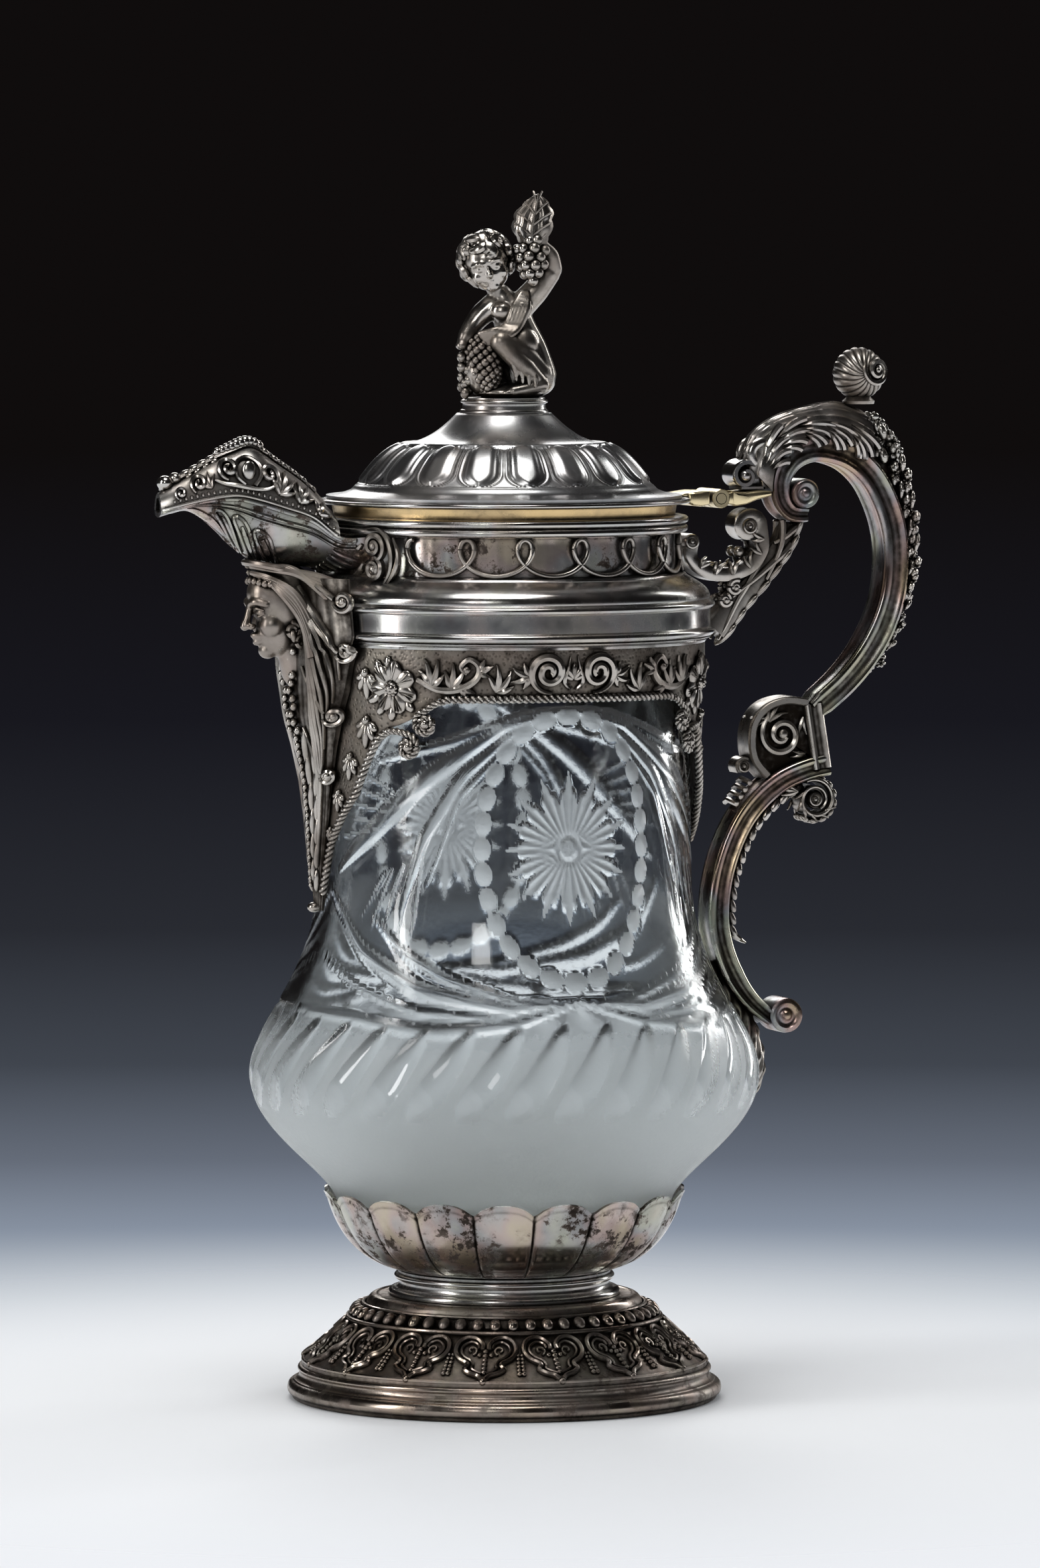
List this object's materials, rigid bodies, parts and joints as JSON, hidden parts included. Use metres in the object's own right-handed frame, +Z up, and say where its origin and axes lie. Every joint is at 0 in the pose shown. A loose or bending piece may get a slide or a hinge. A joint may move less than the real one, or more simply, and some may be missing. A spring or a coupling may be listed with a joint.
{
  "type": "claret jug",
  "caption": "Cut-glass claret jug in silver mounts, with a scrolled cast handle, a covered mask spout and a hinged domed lid with a seated figure.",
  "frame": {"origin": "on the jug's axis, in the plane that its foot stands on", "axes": "+Z up, +X towards the handle, -X towards the spout, +Y completes a right-handed frame"},
  "size_m": [0.2226, 0.1394, 0.3299],
  "materials": {
    "polished_silver": "hand-polished sterling silver, lightly tarnished",
    "cast_silver": "cast and chased silver with dark tarnish in its recesses",
    "tarnished_silver": "polished silver with mottled tarnish",
    "hinge_silver": "polished silver, warm where it was gilt",
    "gilt": "worn gilding",
    "brass_fixing": "turned brass",
    "plaster": "set plaster",
    "cut_glass": "blown crystal, wheel cut and polished"
  },
  "bodies": {
    "jug": {"foot_base_wire": "cast_silver", "foot_dome": "cast_silver", "foot_bead_wire": "cast_silver", "foot_waist": "polished_silver", "calyx": "tarnished_silver", "calyx_plaster": "plaster", "glass_vessel": "cut_glass", "neck_plaster": "plaster", "collar": "polished_silver", "collar_apron": "cast_silver", "apron_rope": "cast_silver", "apron_volutes": "cast_silver", "apron_flowers": "cast_silver", "gallery_band": "polished_silver", "gallery_loops_wire": "cast_silver", "neck_rim_wire": "polished_silver", "neck_bearer": "gilt", "spout_trough": "polished_silver", "spout_hood": "cast_silver", "spout_crest": "cast_silver", "spout_side_scrolls": "cast_silver", "mask_head": "cast_silver", "mask_veil": "cast_silver", "mask_pearls": "cast_silver", "handle_upper_scroll": "polished_silver", "handle_lower_scroll": "polished_silver", "handle_knee": "cast_silver", "handle_spur_scroll": "cast_silver", "handle_root": "cast_silver", "handle_bracket_scroll": "cast_silver", "handle_acanthus": "cast_silver", "handle_thumb_ball": "cast_silver", "handle_garland": "cast_silver", "handle_lower_garland": "cast_silver", "handle_tail_leaf": "cast_silver", "hinge_standing_leaf": "hinge_silver", "hinge_cover_scroll": "polished_silver", "hinge_pin": "hinge_silver"},
    "lid": {"lid_leaf": "hinge_silver", "lid_dome": "polished_silver", "lid_rim_wire": "polished_silver", "lid_bezel": "gilt", "finial_plinth": "polished_silver", "finial_putto": "cast_silver", "finial_raised_grapes": "cast_silver", "finial_basket_grapes": "cast_silver", "finial_drape": "cast_silver", "finial_stud": "brass_fixing", "finial_washer": "brass_fixing", "finial_nut": "brass_fixing"}
  },
  "joints": [
    {"name": "lid_hinge", "type": "hinge", "parent": "jug", "child": "lid", "pos_m": [0.0605, 0, 0.2452], "axis": [0, 1, 0], "range_deg": [0, 85]}
  ]
}
